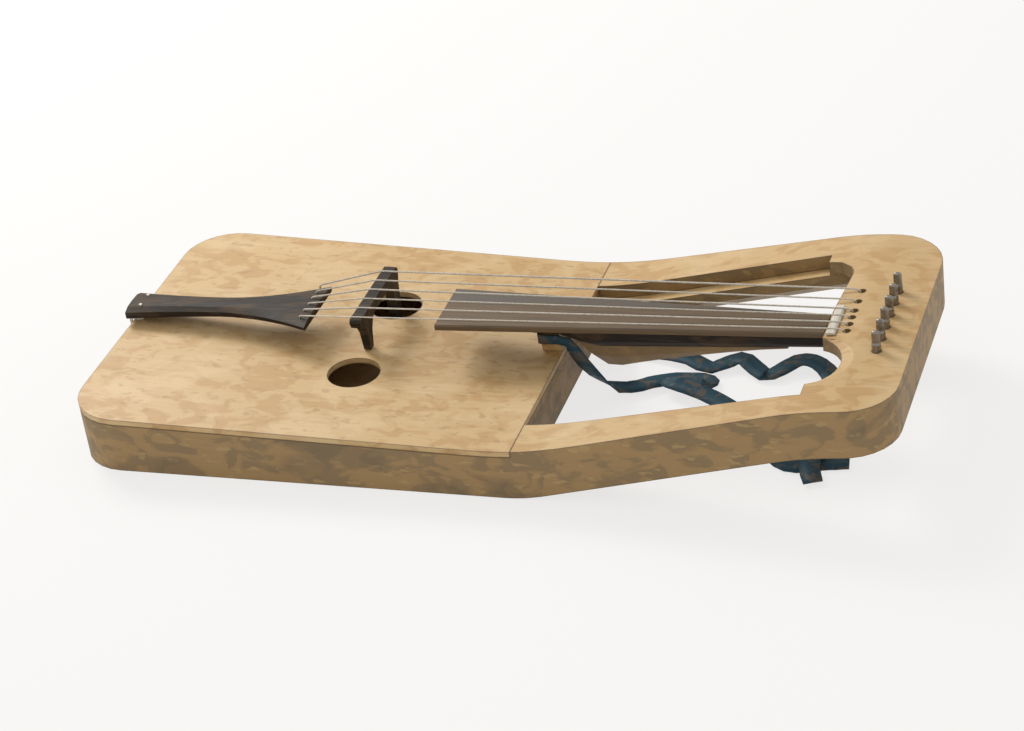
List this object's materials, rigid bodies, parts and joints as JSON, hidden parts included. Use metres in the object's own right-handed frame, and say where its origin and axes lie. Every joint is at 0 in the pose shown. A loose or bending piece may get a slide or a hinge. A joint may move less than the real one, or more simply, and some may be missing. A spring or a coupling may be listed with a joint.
{
  "type": "crwth",
  "caption": "Bowed lyre with a flat soundbox, a yoke with an opening on each side of its neck, gut strings, iron tuning pins and a tied ribbon.",
  "frame": {"origin": "middle of the soundbox's flat back, on the surface that the instrument lies on", "axes": "+X from the tail to the head, +Y across to the drone side, +Z out of the soundboard"},
  "size_m": [0.5641, 0.2466, 0.0914],
  "materials": {
    "sycamore": "worn satin",
    "soundboard_wood": "worn satin",
    "dark_hardwood": "satin",
    "fingerboard_wood": "satin",
    "bone": "smooth bone",
    "gut": "twisted gut",
    "iron": "worn dark iron",
    "silk": "silk"
  },
  "bodies": {
    "frame": {"body": "sycamore", "soundboard": "soundboard_wood", "neck_wedge": "sycamore", "neck": "dark_hardwood", "neck_foot": "sycamore", "fingerboard": "fingerboard_wood", "nut": "bone", "bridge": "dark_hardwood", "tailpiece": "dark_hardwood", "end_button": "dark_hardwood", "tail_loop": "gut", "ribbon": "silk", "string_1": "gut", "string_2": "gut", "string_3": "gut", "string_4": "gut", "string_5": "gut", "string_6": "gut"},
    "pin_1": {"tuning_pin_1": "iron", "string_winding_1": "gut"},
    "pin_2": {"tuning_pin_2": "iron", "string_winding_2": "gut"},
    "pin_3": {"tuning_pin_3": "iron", "string_winding_3": "gut"},
    "pin_4": {"tuning_pin_4": "iron", "string_winding_4": "gut"},
    "pin_5": {"tuning_pin_5": "iron", "string_winding_5": "gut"},
    "pin_6": {"tuning_pin_6": "iron", "string_winding_6": "gut"}
  },
  "joints": [
    {"name": "turn_tuning_pin_1", "type": "hinge", "parent": "frame", "child": "pin_1", "pos_m": [0.3795, 0.0346, 0], "axis": [0, 0, 1], "continuous": true},
    {"name": "turn_tuning_pin_2", "type": "hinge", "parent": "frame", "child": "pin_2", "pos_m": [0.3795, 0.0204, 0], "axis": [0, 0, 1], "continuous": true},
    {"name": "turn_tuning_pin_3", "type": "hinge", "parent": "frame", "child": "pin_3", "pos_m": [0.3795, 0.0062, 0], "axis": [0, 0, 1], "continuous": true},
    {"name": "turn_tuning_pin_4", "type": "hinge", "parent": "frame", "child": "pin_4", "pos_m": [0.3795, -0.008, 0], "axis": [0, 0, 1], "continuous": true},
    {"name": "turn_tuning_pin_5", "type": "hinge", "parent": "frame", "child": "pin_5", "pos_m": [0.3795, -0.0222, 0], "axis": [0, 0, 1], "continuous": true},
    {"name": "turn_tuning_pin_6", "type": "hinge", "parent": "frame", "child": "pin_6", "pos_m": [0.3795, -0.0364, 0], "axis": [0, 0, 1], "continuous": true}
  ]
}
